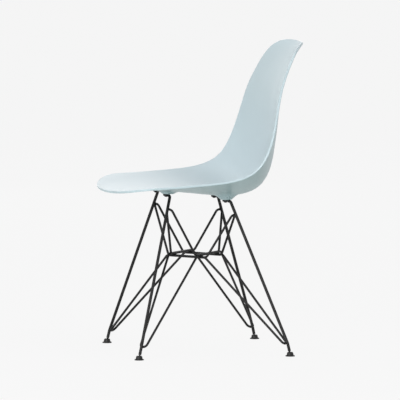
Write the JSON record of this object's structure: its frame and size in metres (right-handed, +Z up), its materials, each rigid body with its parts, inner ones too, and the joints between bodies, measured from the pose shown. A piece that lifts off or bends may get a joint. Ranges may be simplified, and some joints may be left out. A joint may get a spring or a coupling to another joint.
{
  "type": "side chair",
  "caption": "Armless side chair: a pale blue-grey moulded plastic shell on a black welded wire base with four splayed rod legs and small black self-levelling glides.",
  "frame": {"origin": "on the floor, under the middle of the chair's bounding box", "axes": "+Z up, the sitter faces -Y, +X is the sitter's left"},
  "size_m": [0.4664, 0.5503, 0.8306],
  "materials": {
    "shell": "pale blue-grey moulded polypropylene, fine satin texture",
    "wire": "black powder coat, fine texture",
    "screw": "black zinc",
    "insert": "machined",
    "ball": "polished",
    "liner": "natural nylon",
    "boot": "black, fine satin",
    "pad": "dark grey nylon sole"
  },
  "bodies": {
    "frame": {"seat_shell": "shell", "threaded_insert_front_left": "insert", "mount_screw_front_left": "screw", "leg_rod_front_left": "wire", "upper_brace_front_left": "wire", "lower_brace_front_left": "wire", "glide_ball_front_left": "ball", "threaded_insert_front_right": "insert", "mount_screw_front_right": "screw", "leg_rod_front_right": "wire", "upper_brace_front_right": "wire", "lower_brace_front_right": "wire", "glide_ball_front_right": "ball", "threaded_insert_rear_left": "insert", "mount_screw_rear_left": "screw", "leg_rod_rear_left": "wire", "upper_brace_rear_left": "wire", "lower_brace_rear_left": "wire", "glide_ball_rear_left": "ball", "threaded_insert_rear_right": "insert", "mount_screw_rear_right": "screw", "leg_rod_rear_right": "wire", "upper_brace_rear_right": "wire", "lower_brace_rear_right": "wire", "glide_ball_rear_right": "ball"},
    "liner_front_left": {"glide_cup_front_left": "liner"},
    "glide_front_left": {"glide_boot_front_left": "boot", "glide_pad_front_left": "pad"},
    "liner_front_right": {"glide_cup_front_right": "liner"},
    "glide_front_right": {"glide_boot_front_right": "boot", "glide_pad_front_right": "pad"},
    "liner_rear_left": {"glide_cup_rear_left": "liner"},
    "glide_rear_left": {"glide_boot_rear_left": "boot", "glide_pad_rear_left": "pad"},
    "liner_rear_right": {"glide_cup_rear_right": "liner"},
    "glide_rear_right": {"glide_boot_rear_right": "boot", "glide_pad_rear_right": "pad"}
  },
  "joints": [
    {"name": "tilt_fore_aft_front_left", "type": "hinge", "parent": "frame", "child": "liner_front_left", "pos_m": [0.2055, -0.2165, 0.0062], "axis": [1, 0, 0], "range_deg": [-6, 6]},
    {"name": "tilt_sideways_front_left", "type": "hinge", "parent": "liner_front_left", "child": "glide_front_left", "pos_m": [0.2055, -0.2165, 0.0062], "axis": [0, 1, 0], "range_deg": [-6, 6]},
    {"name": "tilt_fore_aft_front_right", "type": "hinge", "parent": "frame", "child": "liner_front_right", "pos_m": [-0.2055, -0.2165, 0.0062], "axis": [1, 0, 0], "range_deg": [-6, 6]},
    {"name": "tilt_sideways_front_right", "type": "hinge", "parent": "liner_front_right", "child": "glide_front_right", "pos_m": [-0.2055, -0.2165, 0.0062], "axis": [0, 1, 0], "range_deg": [-6, 6]},
    {"name": "tilt_fore_aft_rear_left", "type": "hinge", "parent": "frame", "child": "liner_rear_left", "pos_m": [0.208, 0.196, 0.0062], "axis": [1, 0, 0], "range_deg": [-6, 6]},
    {"name": "tilt_sideways_rear_left", "type": "hinge", "parent": "liner_rear_left", "child": "glide_rear_left", "pos_m": [0.208, 0.196, 0.0062], "axis": [0, 1, 0], "range_deg": [-6, 6]},
    {"name": "tilt_fore_aft_rear_right", "type": "hinge", "parent": "frame", "child": "liner_rear_right", "pos_m": [-0.208, 0.196, 0.0062], "axis": [1, 0, 0], "range_deg": [-6, 6]},
    {"name": "tilt_sideways_rear_right", "type": "hinge", "parent": "liner_rear_right", "child": "glide_rear_right", "pos_m": [-0.208, 0.196, 0.0062], "axis": [0, 1, 0], "range_deg": [-6, 6]}
  ]
}
